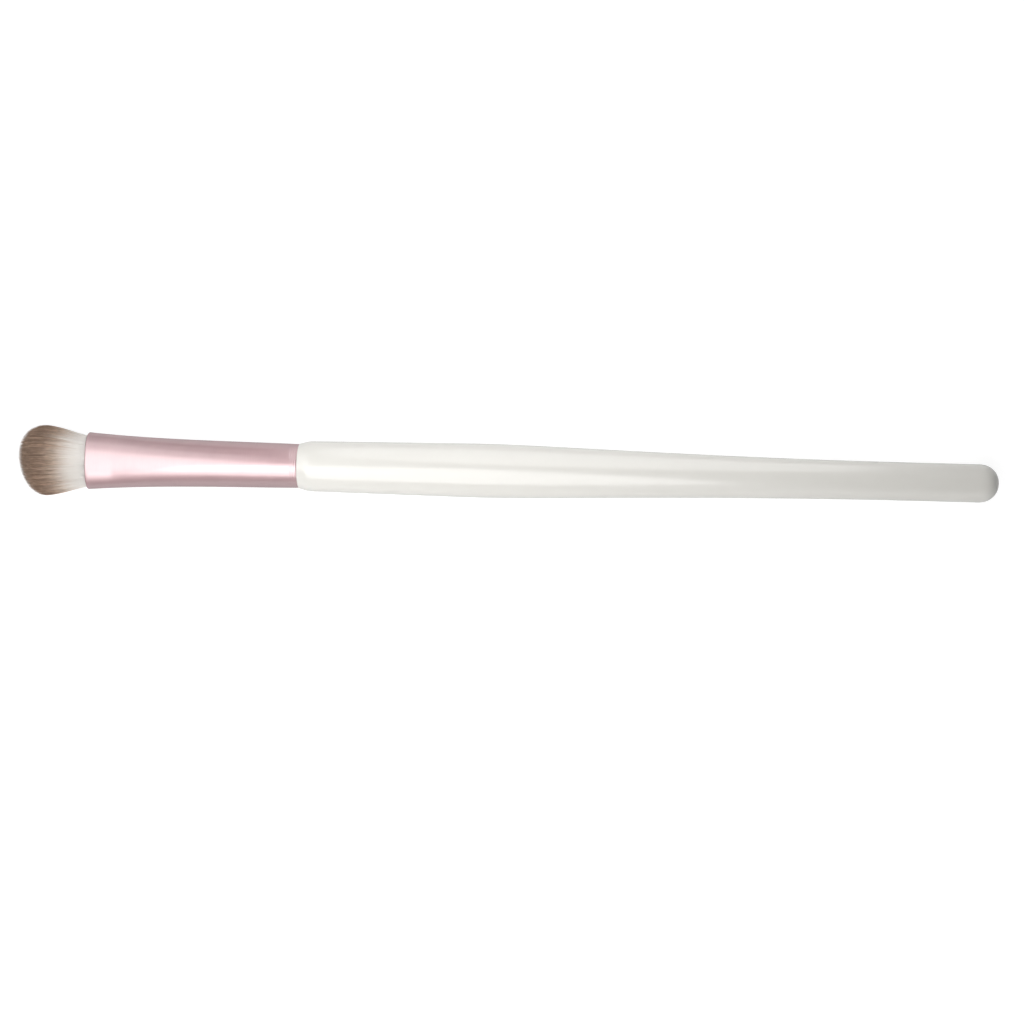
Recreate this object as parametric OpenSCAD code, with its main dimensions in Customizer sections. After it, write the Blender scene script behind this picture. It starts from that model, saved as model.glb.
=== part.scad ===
// Eyeshadow brush with an oval head, a pressed tube ferrule and a turned wooden handle.
// Millimetres. The brush lies along X with its hair towards -X and its broad side across Y.
// The belly of the handle rests on z = 0. On a table the brush leans on its belly and head.

/* [Hair] */
// Length of hair that shows in front of the ferrule
hair_out = 12.2; // [9:0.1:16]
// Widest width of the head
head_w = 12; // [10:0.1:14]
// Widest thickness of the head
head_t = 8.2; // [7.8:0.1:9.2]
// Length of the domed end of the head
dome_l = 4.3; // [3:0.1:6]
// Most that one bristle falls short of the dome
tip_scatter = 0.3; // [0:0.05:0.6]
// Length of the bundle inside the ferrule
root_l = 11; // [9:0.5:13]
// How far the face of the packed roots lies inside the mouth
root_recess = 0.4; // [0.2:0.1:1]
// Height of the collar where a bristle narrows from the packed roots
collar_h = 0.5; // [0.3:0.1:1]
// Rings of bristles about the middle of the head
hair_rings = 12; // [11:1:13]

/* [Ferrule] */
// Length of the ferrule
ferrule_l = 36.5; // [32:0.1:42]
// Outside diameter of the round end, at the handle
ferrule_d = 7.63; // [7:0.01:8.5]
// Outside width of the oval mouth
mouth_w = 9.9; // [9:0.1:11]
// Outside thickness of the oval mouth
mouth_t = 6; // [5.4:0.1:6.6]
// Wall of the tube
wall = 0.35; // [0.25:0.01:0.4]
// Length of the mouth that the press jaws hold flat
jaw_l = 4.7; // [3:0.1:6]

/* [Handle] */
// Length of the handle that shows behind the ferrule
handle_l = 121.3; // [100:0.1:150]
// How far the neck stands proud of the ferrule that it meets
neck_step = 0.035; // [0:0.005:0.1]
// Length of the rounded shoulder behind the neck
shoulder_l = 2.6; // [1.5:0.1:5]
// Diameter at the end of the shoulder
shoulder_d = 8.72; // [8.6:0.01:9.2]
// Distance of the belly from the ferrule
belly_at = 32; // [24:0.5:45]
// Diameter of the belly, the thickest place
belly_d = 9.38; // [9.3:0.01:11]
// Diameter of the slim tail
tail_d = 6.66; // [5.5:0.01:8]
// Length of the tail that is a true cylinder, in front of the butt
tail_l = 10; // [4:0.5:30]
// Length of the rounded butt end
butt_l = 3.4; // [2:0.1:5]

/* [Inside] */
// Length of the tenon that goes into the ferrule
tenon_l = 14; // [10:0.5:16]
// Thickness of the glue round the tenon at the round end of the ferrule
glue_t = 0.25; // [0.22:0.01:0.4]
// Chamfer at the front of the tenon
tenon_chamfer = 0.6; // [0.3:0.1:1]
// Diameter of the binding thread
thread_d = 0.4; // [0.3:0.05:0.5]
// Distance of the thread's groove from the root end of the bundle
thread_back = 1; // [0.6:0.1:2]

/* [Hidden] */

// Gap between two curved faces that are glued together
fit = 0.04;
// Gap between the glue plug and the front of the tenon
plug_gap = 0.3;
// Least distance between two rings of a loft
least_band = 0.3;
// Turns of the binding thread
thread_turns = 3;
// Exponent of the round ends: 2 is an ellipse, and more is fuller
end_power = 2.2;
// Exponent of the mouth's oval section: 2 is an ellipse, and more is flatter on its broad faces
press_power = 2.4;

// The mouth's extra width and lost thickness along the ferrule, as shares of their full value
spread_shares = [1, 0.1, 0.2, 0];
press_shares = [1, 0, 0.05, 0];
// The head's flare from the mouth to its widest place, as shares
flare_shares = [0, 0.36, 0.8, 1];
// Curve handles of the outline of the handle, as shares of each stretch's length and rise
shoulder_shares = [[0, 0], [0.4, 0.5], [0.5, 0.98], [1, 1]];
swell_shares = [[0, 0], [0.5, 0.5], [0.9, 1], [1, 1]];
taper_shares = [[0, 0], [0.17, 0], [0.5, 1], [1, 1]];
// Slant of the trimmed tips across the head, as a share of the distance from the middle
slant_share = 0.07;
// Thickness of a bristle, as a share of its place in the packed roots
bristle_share = 0.62;
// Place of a bristle's last full section, as a share of its length
shank_share = 0.75;
// Turn from the rim of the lattice of bristles to its middle, which keeps slits from lining up
twist = 24;
// First draw of the numbers that scatter the tips
scatter_seed = 7;

total_l = hair_out + ferrule_l + handle_l;
mouth_x = hair_out - total_l / 2;
joint_x = mouth_x + ferrule_l;
axis_z = belly_d / 2;
neck_d = ferrule_d + 2 * neck_step;
tenon_d = ferrule_d - 2 * (wall + glue_t);
// Distance from one turn of the thread to the next, and the depth and length of its groove
thread_pitch = thread_d + 2 * fit;
groove_depth = thread_d + 2 * fit;
groove_l = thread_turns * thread_pitch + groove_depth;
// Distance from the mouth to the front of the groove's floor
groove_at = root_l - thread_back - groove_l;
// Points round each oval section, and the bands of the tube in front of and behind the jaw line
round_n = 6 * hair_rings;
jaw_bands = 2;
tube_bands = 15;
// Points in a turn of the thread and round its section
turn_n = 36;
thread_n = 5;
// Distance of the outermost bristles from the middle, as a share of the bundle's rim
rim_share = 1 - 2 / (3 * hair_rings);
// Distance from the mouth to the widest place of the head
flare_l = hair_out - dome_l;

// Point at t on the cubic curve of four control points or values p
function cubic(p, t) =
    pow(1 - t, 3) * p[0] + 3 * t * pow(1 - t, 2) * p[1]
    + 3 * t * t * (1 - t) * p[2] + pow(t, 3) * p[3];

// Part of the full height that a round end has at q, from 0 in the middle to 1 at the rim
function round_end(q) = pow(1 - pow(min(q, 1), end_power), 1 / end_power);

// Outside half width of the ferrule at distance u behind the mouth
function tube_w(u) =
    (ferrule_d + (mouth_w - ferrule_d) * cubic(spread_shares, u / ferrule_l)) / 2;

// Outside half thickness of the ferrule at u: flat under the jaws, then rising to round
function tube_t(u) =
    (ferrule_d + (mouth_t - ferrule_d)
        * cubic(press_shares, max(u - jaw_l, 0) / (ferrule_l - jaw_l))) / 2;

// Exponent of the section at u, which ends as a true circle at the handle
function oval(u) = 2 + (press_power - 2)
    * cubic(press_shares, max(u - jaw_l, 0) / (ferrule_l - jaw_l));

// Point of the unit circle at step i of n
function unit(i, n) = [cos(360 * i / n), sin(360 * i / n)];

// Point p of the unit disc moved out to a section of that exponent, at the same angle
function fuller(p, power) = norm(p) == 0 ? p
    : p * norm(p) / pow(pow(abs(p.x), power) + pow(abs(p.y), power), 1 / power);

// Oval section of the ferrule at u, drawn in by the distance inset
function section(u, inset) = [for (i = [0 : round_n - 1])
    let (p = fuller(unit(i, round_n), oval(u)))
    [mouth_x + u, p.x * (tube_w(u) - inset), axis_z + p.y * (tube_t(u) - inset)]];

// Distances from the mouth of the rings of the tube
tube_stations = [
    for (i = [0 : jaw_bands - 1]) jaw_l * i / jaw_bands,
    for (i = [0 : tube_bands]) jaw_l + (ferrule_l - jaw_l) * i / tube_bands];

// Those stations that lie between a and b, with a and b as the first and last
function stations(a, b) = concat(
    [a], [for (u = tube_stations) if (u > a + least_band && u < b - least_band) u], [b]);

// Two triangles of each quad between ring a and ring b of n points
function band(a, b, n) = [for (i = [0 : n - 1]) let (j = (i + 1) % n)
    each [[a + i, b + i, b + j], [a + i, b + j, a + j]]];

// Closed solid through the rings, with flat ends, or looped from the last ring to the first
module loft(rings, looped = false) {
    n = len(rings[0]);
    m = len(rings);
    sides = [for (k = [0 : m - (looped ? 1 : 2)]) each band(k * n, (k + 1) % m * n, n)];
    front = [for (i = [1 : n - 2]) [0, i, i + 1]];
    back = [for (i = [1 : n - 2]) [(m - 1) * n, (m - 1) * n + i + 1, (m - 1) * n + i]];
    polyhedron(
        points = [for (r = rings) each r],
        faces = looped ? sides : concat(sides, front, back),
        convexity = 6);
}

// Outline points of one stretch of the handle, from [distance, radius] a to b, without a
function stretch(a, b, shares, n) = [for (i = [1 : n])
    let (s = cubic(shares, i / n)) [a.y + (b.y - a.y) * s.y, a.x + (b.x - a.x) * s.x]];

// Turned handle: tenon, rounded shoulder, belly, slim tail and round butt
module handle() {
    neck = [0, neck_d / 2];
    shoulder = [shoulder_l, shoulder_d / 2];
    belly = [belly_at, belly_d / 2];
    tail = [handle_l - butt_l - tail_l, tail_d / 2];
    butt_at = tail.x + tail_l;
    tenon = [
        [0, -tenon_l],
        [tenon_d / 2 - tenon_chamfer, -tenon_l],
        [tenon_d / 2, tenon_chamfer - tenon_l],
        [tenon_d / 2, 0],
        [neck.y, neck.x]];
    butt_n = 12;
    butt = [for (i = [1 : butt_n]) let (q = sin(90 * i / butt_n))
        [tail.y * round_end(q), butt_at + butt_l * q]];
    color("ivory")
    translate([joint_x, 0, axis_z])
    rotate([0, 90, 0])
    rotate_extrude($fn = 96)
    polygon(concat(
        tenon,
        stretch(neck, shoulder, shoulder_shares, 6),
        stretch(shoulder, belly, swell_shares, 8),
        stretch(belly, tail, taper_shares, 16),
        [[tail.y, butt_at]],
        butt));
}

// Drawn tube, round at the handle and pressed oval at the mouth
module ferrule() {
    outer = [for (u = tube_stations) section(u, 0)];
    inner = [for (i = [len(tube_stations) - 1 : -1 : 0]) section(tube_stations[i], wall)];
    color("pink")
    loft(concat(outer, inner), looped = true);
}

// Half width and half thickness of the bundle's rim at distance s in front of the mouth
function rim_w(s) = let (f = cubic(flare_shares, min(max(s / flare_l, 0), 1)))
    (1 - f) * (tube_w(root_recess) - wall - fit) + f * head_w / 2 / rim_share;
function rim_t(s) = let (f = cubic(flare_shares, min(max(s / flare_l, 0), 1)))
    (1 - f) * (tube_t(root_recess) - wall - fit) + f * head_t / 2 / rim_share;

// Place in space of point p of the unit disc at distance s in front of the mouth
function in_bundle(p, s) = let (
    f = cubic(flare_shares, min(max(s / flare_l, 0), 1)),
    q = fuller(p, (1 - f) * press_power + f * 2))
    [mouth_x - s, q.x * rim_w(s), axis_z + q.y * rim_t(s)];

// Number and place of point i on ring k of the lattice on the face of the roots
function lattice_no(k, i) = k == 0 ? 0 : 1 + 3 * k * (k - 1) + i % (6 * k);
function lattice_p(k, i) = let (
    a = 360 * i / max(6 * k, 1) + twist * (1 - k / hair_rings),
    r = k / hair_rings)
    [r * cos(a), r * sin(a)];

// Corners [ring, step] of the cells that carry a bristle: two on ring k - 1 and one on ring k
cells = [for (k = [2 : hair_rings], q = [0 : 5], j = [0 : k - 2])
    [[k - 1, q * (k - 1) + j + 1], [k - 1, q * (k - 1) + j], [k, q * k + j + 1]]];

// Corners of the flat cells between them: two on ring k and one on ring k - 1
lands = [for (k = [1 : hair_rings], q = [0 : 5], j = [0 : k - 1])
    [[k, q * k + j], [k, q * k + j + 1], [k - 1, q * (k - 1) + j]]];

// Length of the bristle that stands at p, which is shorter towards the rim of the dome
function bristle_l(p, shortfall) =
    flare_l + dome_l * round_end(norm(p) / rim_share)
    + slant_share * p.x * head_w / 2 - shortfall;

// Root bundle with its thread groove, and the bristles that stand on its face, as one solid
module hair() {
    // Each ring of the bundle is [distance behind the mouth, depth under the ferrule's bore]
    bundle = concat(
        [for (u = stations(root_recess, groove_at - groove_depth)) [u, fit]],
        [[groove_at, groove_depth],
        [groove_at + groove_l, groove_depth],
        [groove_at + groove_l + groove_depth, fit],
        [root_l, fit]]);
    shortfalls = rands(0, tip_scatter, len(cells), scatter_seed);
    lattice = [for (k = [0 : hair_rings], i = [0 : max(6 * k, 1) - 1])
        in_bundle(lattice_p(k, i), -root_recess)];
    walls = [for (r = bundle) if (r[0] > root_recess) each section(r[0], wall + r[1])];
    shanks = [for (c = [0 : len(cells) - 1])
        let (
            corners = [for (v = cells[c]) lattice_p(v[0], v[1])],
            middle = (corners[0] + corners[1] + corners[2]) / 3,
            long = bristle_l(middle, shortfalls[c]))
        each concat(
            [for (s = [collar_h - root_recess, long * shank_share], v = corners)
                in_bundle(middle + (v - middle) * bristle_share, s)],
            [in_bundle(middle, long)])];
    rim_at = 1 + 3 * hair_rings * (hair_rings - 1);
    shank_at = len(lattice) + len(walls);
    back_at = shank_at - round_n;
    shank_n = 7;
    wall_faces = [for (k = [0 : len(bundle) - 2])
        each band(rim_at + k * round_n, rim_at + (k + 1) * round_n, round_n)];
    back_faces = [for (i = [1 : round_n - 2]) [back_at, back_at + i + 1, back_at + i]];
    land_faces = [for (l = lands) [for (v = l) lattice_no(v[0], v[1])]];
    shank_faces = [for (c = [0 : len(cells) - 1])
        let (
            a = shank_at + c * shank_n,
            root = [for (v = cells[c]) lattice_no(v[0], v[1])])
        each [for (i = [0 : 2]) let (j = (i + 1) % 3) each [
            [root[i], root[j], a + j], [root[i], a + j, a + i],
            [a + i, a + j, a + 3 + j], [a + i, a + 3 + j, a + 3 + i],
            [a + 3 + i, a + 3 + j, a + 6]]]];
    color("rosybrown")
    polyhedron(
        points = concat(lattice, walls, shanks),
        faces = concat(wall_faces, back_faces, land_faces, shank_faces),
        convexity = 20);
}

// Thread wound round the roots, in the groove of the bundle
module binding_thread() {
    steps = thread_turns * turn_n;
    start = groove_at + thread_d / 2 + fit;
    rings = [for (i = [0 : steps])
        let (
            u = start + thread_pitch * i / turn_n,
            p = fuller(unit(i, turn_n), oval(u)),
            deep = wall + fit + thread_d / 2,
            middle = [mouth_x + u, p.x * (tube_w(u) - deep), axis_z + p.y * (tube_t(u) - deep)])
        [for (k = [0 : thread_n - 1])
            let (c = unit(k, thread_n) * thread_d / 2)
            middle + [c.x, c.y * p.x, c.y * p.y]]];
    color("whitesmoke")
    loft(rings);
}

// Hard glue between the roots and the tenon
module glue_plug() {
    color("khaki")
    loft([for (u = stations(root_l, ferrule_l - tenon_l - plug_gap)) section(u, wall + fit)]);
}

// Glue sleeve between the tenon and the bore of the ferrule
module handle_adhesive() {
    front = ferrule_l - tenon_l + tenon_chamfer;
    sleeve = stations(front, ferrule_l);
    outer = [for (u = sleeve) section(u, wall + fit)];
    inner = [for (u = [ferrule_l, front]) [for (i = [0 : round_n - 1])
        let (p = unit(i, round_n) * (tenon_d / 2 + fit) / cos(180 / round_n))
        [mouth_x + u, p.x, axis_z + p.y]]];
    color("wheat")
    loft(concat(outer, inner), looped = true);
}

handle();
ferrule();
hair();
binding_thread();
glue_plug();
handle_adhesive();
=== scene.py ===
"""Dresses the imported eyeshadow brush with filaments, a satin ferrule and a pearl lacquered handle.

Lengths are metres in the row frame. The brush lies along X with its hair towards -X and its broad
side across Y, and the belly of its handle touches z = 0.
"""

import logging
import math
from dataclasses import dataclass
from enum import Enum

import bpy
import numpy as np
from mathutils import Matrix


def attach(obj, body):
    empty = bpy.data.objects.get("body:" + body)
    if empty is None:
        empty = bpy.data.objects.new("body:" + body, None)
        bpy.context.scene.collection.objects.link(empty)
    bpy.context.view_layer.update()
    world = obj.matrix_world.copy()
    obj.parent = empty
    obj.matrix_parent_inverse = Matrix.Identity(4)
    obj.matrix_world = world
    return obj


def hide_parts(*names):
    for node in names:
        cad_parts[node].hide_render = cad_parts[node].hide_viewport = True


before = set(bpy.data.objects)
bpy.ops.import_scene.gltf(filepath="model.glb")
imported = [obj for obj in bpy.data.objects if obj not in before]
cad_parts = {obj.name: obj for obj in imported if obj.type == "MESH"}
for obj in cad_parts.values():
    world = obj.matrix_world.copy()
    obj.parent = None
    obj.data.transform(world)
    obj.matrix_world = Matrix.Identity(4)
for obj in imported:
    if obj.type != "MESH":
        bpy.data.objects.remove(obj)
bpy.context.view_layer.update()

MM = 0.001
BODY = "root"
# Least length that anything is divided by
TINY = 1e-12
# Sides of a filament, whose root is closed by one triangle
SIDES = 3
Pair = tuple[float, float]
Triple = tuple[float, float, float]
Colour = Triple
WHITE: Colour = (1.0, 1.0, 1.0)
Curve = tuple[float, float, float, float]
Socket = bpy.types.NodeSocket
Feed = Socket | float | tuple[float, ...]
# Range that Blender's noise seldom leaves
USUAL_NOISE: Pair = (0.3, 0.7)
# Numbers of a Mix node's sockets for its share and its two colours, and for its mixed colour
MIX_INPUTS = (0, 6, 7)
MIX_RESULT = 2

log = logging.getLogger("brush")


class Slot(Enum):
    """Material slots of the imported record."""

    HANDLE = "handle"
    FERRULE = "ferrule"
    HAIR = "hair"


class Ends(Enum):
    """How a skin through rings closes at its first and last ring."""

    POLES = "poles"
    LOOPED = "looped"


class Facing(Enum):
    """Way that a softbox shines, as its turn about X."""

    DOWN = 0.0
    TO_MINUS_Y = -math.pi / 2
    TO_PLUS_Y = math.pi / 2


# Curves and surfaces


def cubic(control: Curve, t: np.ndarray) -> np.ndarray:
    """Cubic curve: four control values weighted by the Bernstein terms of t and added up.

    Args:
        control: The four control values.
        t: Places on the curve, from 0 to 1.

    Returns:
        The value at each place.
    """
    a, b, c, d = control
    s = 1 - t
    return s**3 * a + 3 * t * s**2 * b + 3 * t**2 * s * c + t**3 * d


def round_end(q: np.ndarray, power: float) -> np.ndarray:
    """Height of a round end at share q of its reach: power-th root of 1 less q to the power."""
    return (1 - np.clip(q, 0, 1) ** power) ** (1 / power)


def fuller(disc: np.ndarray, power: np.ndarray) -> np.ndarray:
    """Moves points of the unit disc out to a squarer section at the same angle.

    A point is multiplied by its length and divided by its power-norm, which is the power-th root
    of the sum of both its parts to that power.

    Args:
        disc: Points, with two numbers on the last axis.
        power: 2 keeps the circle, and more is squarer.

    Returns:
        The moved points.
    """
    length = np.linalg.norm(disc, axis=-1)
    norm = (np.abs(disc[..., 0]) ** power + np.abs(disc[..., 1]) ** power) ** (1 / power)
    return disc * (length / np.maximum(norm, TINY))[..., None]


def columns(*parts: np.ndarray) -> np.ndarray:
    """Arrays side by side, on a new last axis."""
    return np.stack(parts, axis=-1)


def circle(count: int) -> np.ndarray:
    """Rows of y and z on the unit circle, at equal angles."""
    angle = np.linspace(0, 2 * math.pi, count, endpoint=False)
    return columns(np.cos(angle), np.sin(angle))


def stretch(a: Pair, b: Pair, along: Curve, up: Curve, count: int) -> np.ndarray:
    """Outline from a to b, without a: distance and radius are cubics of their control shares."""
    t = np.arange(1, count + 1) / count
    return columns(*(p + (q - p) * cubic(c, t) for p, q, c in zip(a, b, (along, up))))


def sunflower(count: int) -> np.ndarray:
    """Evenly spread points of the unit disc.

    Point i lies at i golden angles, at the root of its share of the count.

    Args:
        count: Number of points.

    Returns:
        Rows of y and z, from the middle outwards.
    """
    i = np.arange(count)
    angle = i * math.pi * (3 - math.sqrt(5))
    reach = np.sqrt((i + 0.5) / count)
    return reach[:, None] * columns(np.cos(angle), np.sin(angle))


def placed(name: str, data: bpy.types.ID) -> bpy.types.Object:
    """Puts a new object in the scene.

    Args:
        name: Name of the object.
        data: Its mesh, lamp or camera.

    Returns:
        The object, at the origin.
    """
    made = bpy.data.objects.new(name, data)
    bpy.context.scene.collection.objects.link(made)
    return made


@dataclass
class Surface:
    """Closed skins as whole arrays.

    Attributes:
        points: Rows of x, y and z.
        quads: Rows of four point numbers, counter-clockwise seen from outside.
        triangles: Rows of three point numbers, counter-clockwise seen from outside.
        chart: Rows of u and v, one for each point, or None.
    """

    points: np.ndarray
    quads: np.ndarray
    triangles: np.ndarray
    chart: np.ndarray | None = None

    @classmethod
    def through_rings(cls, rings: np.ndarray, ends: Ends) -> "Surface":
        """Skin through rings of points: quad (i, j) joins places j and j + 1 of rings i and i + 1.

        Args:
            rings: Points by ring, by place round it from Y towards Z, and by axis.
            ends: Poles in the middle of the first and last ring, or a loop back to the first.

        Returns:
            The closed skin, whose outside is away from the middle where the rings run along +X.
        """
        count, around = rings.shape[:2]
        points = rings.reshape(-1, 3)
        here = np.arange(around)
        ahead = (here + 1) % around
        ring = np.arange(count if ends is Ends.LOOPED else count - 1)[:, None]
        low = ring * around
        high = (ring + 1) % count * around
        quads = columns(low + here, low + ahead, high + ahead, high + here)
        triangles = np.zeros((0, 3), int)
        if ends is Ends.POLES:
            first_pole = len(points)
            poles = np.stack([rings[0].mean(axis=0), rings[-1].mean(axis=0)])
            points = np.concatenate([points, poles])
            last = (count - 1) * around
            front = columns(np.full(around, first_pole), ahead, here)
            back = columns(np.full(around, first_pole + 1), last + here, last + ahead)
            triangles = np.concatenate([front, back])
        return cls(points, quads.reshape(-1, 4), triangles)

    def piece(self, name: str) -> bpy.types.Object:
        """Writes the arrays into the mesh of a new object at the origin.

        Args:
            name: Name of the piece.

        Returns:
            The object, shaded smooth.
        """
        mesh = bpy.data.meshes.new(name)
        corners = np.concatenate([self.quads.ravel(), self.triangles.ravel()]).astype(np.int32)
        split = 4 * len(self.quads)
        starts = np.concatenate([np.arange(0, split, 4), np.arange(split, len(corners), 3)])
        mesh.vertices.add(len(self.points))
        mesh.vertices.foreach_set("co", self.points.astype(np.float32).ravel())
        mesh.loops.add(len(corners))
        mesh.loops.foreach_set("vertex_index", corners)
        mesh.polygons.add(len(starts))
        mesh.polygons.foreach_set("loop_start", starts.astype(np.int32))
        mesh.polygons.foreach_set("use_smooth", np.ones(len(starts), bool))
        if self.chart is not None:
            layer = mesh.uv_layers.new(name="Chart")
            layer.data.foreach_set("uv", self.chart[corners].astype(np.float32).ravel())
        mesh.update(calc_edges=True)
        mesh.validate()
        return placed(name, mesh)


# Finishes


class Nodes:
    """A tree of shader nodes, and short ways to add to it."""

    def __init__(self, tree: bpy.types.NodeTree) -> None:
        """Starts on an empty tree."""
        self.tree = tree
        self.tree.nodes.clear()

    def add(self, kind: str, **settings: object) -> bpy.types.Node:
        """Adds a node.

        Args:
            kind: Blender's name for the type of node.
            settings: Properties of the node.

        Returns:
            The node.
        """
        node = self.tree.nodes.new(kind)
        for key, value in settings.items():
            setattr(node, key, value)
        return node

    def join(self, value: Feed, target: Socket) -> None:
        """Feeds a socket.

        Args:
            value: Socket to link, or number or colour to set.
            target: The socket that it goes to.
        """
        if isinstance(value, Socket):
            self.tree.links.new(value, target)
        else:
            target.default_value = value

    def math(self, kind: str, a: Feed, b: Feed = 0.0) -> Socket:
        """Adds a Math node.

        Args:
            kind: Blender's name for the operation.
            a: First socket or number.
            b: Second socket or number.

        Returns:
            The result.
        """
        node = self.add("ShaderNodeMath", operation=kind)
        self.join(a, node.inputs[0])
        self.join(b, node.inputs[1])
        return node.outputs[0]

    def vector(self, kind: str, a: Feed, b: Feed) -> bpy.types.Node:
        """Adds a Vector Math node.

        Args:
            kind: Blender's name for the operation.
            a: First socket, colour or direction.
            b: Second socket, colour or direction.

        Returns:
            The node.
        """
        node = self.add("ShaderNodeVectorMath", operation=kind)
        self.join(a, node.inputs[0])
        self.join(b, node.inputs[1])
        return node

    def dot(self, a: Feed, b: Feed) -> Socket:
        """Sum of the products of two vectors' parts."""
        return self.vector("DOT_PRODUCT", a, b).outputs["Value"]

    def product(self, a: Feed, b: Feed) -> Socket:
        """Two colours multiplied part by part."""
        return self.vector("MULTIPLY", a, b).outputs["Vector"]


class Recipe(Nodes):
    """One material with a Principled shader."""

    def __init__(self, name: str, **settings: Feed) -> None:
        """Starts the material.

        Args:
            name: Name of the material.
            settings: Numbers and colours for the shader's own sockets, with _ for a space.
        """
        self.material = bpy.data.materials.new(name)
        self.material.use_nodes = True
        super().__init__(self.material.node_tree)
        self.shader = self.add("ShaderNodeBsdfPrincipled")
        self.output = self.add("ShaderNodeOutputMaterial")
        self.join(self.shader.outputs["BSDF"], self.output.inputs["Surface"])
        for key, value in settings.items():
            self.give(key.replace("_", " "), value)

    def give(self, socket: str, value: Feed) -> None:
        """Links or sets value on the shader's socket of that name."""
        self.join(value, self.shader.inputs[socket])

    def place(self, stretch: Triple = (1.0, 1.0, 1.0)) -> Socket:
        """Object coordinates, in metres.

        Args:
            stretch: What each axis is multiplied by.

        Returns:
            The place.
        """
        mapping = self.add("ShaderNodeMapping")
        mapping.inputs["Scale"].default_value = stretch
        self.join(self.add("ShaderNodeTexCoord").outputs["Object"], mapping.inputs["Vector"])
        return mapping.outputs["Vector"]

    def noise(self, at: Socket, size: float, detail: float = 2.0, line: bool = False) -> Socket:
        """Smooth noise from 0 to 1.

        Args:
            at: What the noise reads: a place, or a number where line is True.
            size: Size of a blotch in the unit of at.
            detail: Octaves of finer noise.
            line: True for noise along one number.

        Returns:
            The noise.
        """
        node = self.add("ShaderNodeTexNoise", noise_dimensions="1D" if line else "3D")
        self.join(at, node.inputs["W" if line else "Vector"])
        node.inputs["Scale"].default_value = 1 / size
        node.inputs["Detail"].default_value = detail
        return node.outputs["Fac"]

    def ramp(self, value: Socket, ends: Pair, results: Pair) -> Socket:
        """Straight ramp of a number, level outside its ends.

        Args:
            value: The number.
            ends: Where the ramp starts and ends.
            results: What it gives there.

        Returns:
            The number on the ramp.
        """
        node = self.add("ShaderNodeMapRange")
        names = ("Value", "From Min", "From Max", "To Min", "To Max")
        for name, number in zip(names, (value, *ends, *results)):
            self.join(number, node.inputs[name])
        return node.outputs["Result"]

    def between(self, share: Socket, low: float, high: float) -> Socket:
        """Noise carried from its usual range to the range from low to high."""
        return self.ramp(share, USUAL_NOISE, (low, high))

    def mix(self, share: Feed, a: Feed, b: Feed) -> Socket:
        """Mixes two colours.

        Args:
            share: Share of the second.
            a: First colour.
            b: Second colour.

        Returns:
            The mixed colour.
        """
        node = self.add("ShaderNodeMix", data_type="RGBA")
        for index, value in zip(MIX_INPUTS, (share, a, b)):
            self.join((*value, 1.0) if isinstance(value, tuple) else value, node.inputs[index])
        return node.outputs[MIX_RESULT]

    def bump(self, height: Socket, depth: float) -> None:
        """Feeds the shader's normal from a relief.

        Args:
            height: Height of the relief, from 0 to 1.
            depth: Metres that a height of 1 stands for.
        """
        node = self.add("ShaderNodeBump")
        node.inputs["Distance"].default_value = depth
        self.join(height, node.inputs["Height"])
        self.give("Normal", node.outputs["Normal"])


@dataclass(frozen=True)
class PearlLacquer:
    """White lacquer with fine mica under a clear gloss coat.

    Attributes:
        light: Colour at the palest.
        dark: Colour at the darkest.
        cloud_size: Size of the clouds in the colour.
        cloud_share: Part that the clouds have in the tint, next to the flakes.
        flake_size: Size of the mica's flakes, in the colour and the gloss.
        peel_size: Width of the orange peel's dimples.
        peel_depth: Depth of those dimples.
        rough: Range of the roughness under the coat.
        specular: Gloss of the base.
        coat_rough: Roughness of the clear coat.
        coat_ior: Index of refraction of the clear coat.
    """

    light: Colour = (0.872, 0.855, 0.806)
    dark: Colour = (0.849, 0.832, 0.784)
    cloud_size: float = 5 * MM
    cloud_share: float = 0.6
    flake_size: float = 0.14 * MM
    peel_size: float = 1.6 * MM
    peel_depth: float = 0.004 * MM
    rough: Pair = (0.39, 0.47)
    specular: float = 0.3
    coat_rough: float = 0.15
    coat_ior: float = 1.65

    def material(self) -> bpy.types.Material:
        """Clouds and flakes tint the base, flakes vary its gloss, and orange peel lifts it.

        Returns:
            The material.
        """
        r = Recipe(
            "pearl_lacquer",
            Specular_IOR_Level=self.specular,
            Coat_Weight=1.0,
            Coat_Roughness=self.coat_rough,
            Coat_IOR=self.coat_ior,
        )
        at = r.place()
        cloud = r.between(r.noise(at, self.cloud_size, detail=3), 0, self.cloud_share)
        flake = r.noise(at, self.flake_size, detail=1)
        tint = r.math("ADD", cloud, r.between(flake, 0, 1 - self.cloud_share))
        r.give("Base Color", r.mix(tint, self.dark, self.light))
        r.give("Roughness", r.between(flake, *self.rough))
        r.bump(r.noise(at, self.peel_size), self.peel_depth)
        return r.material


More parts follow.
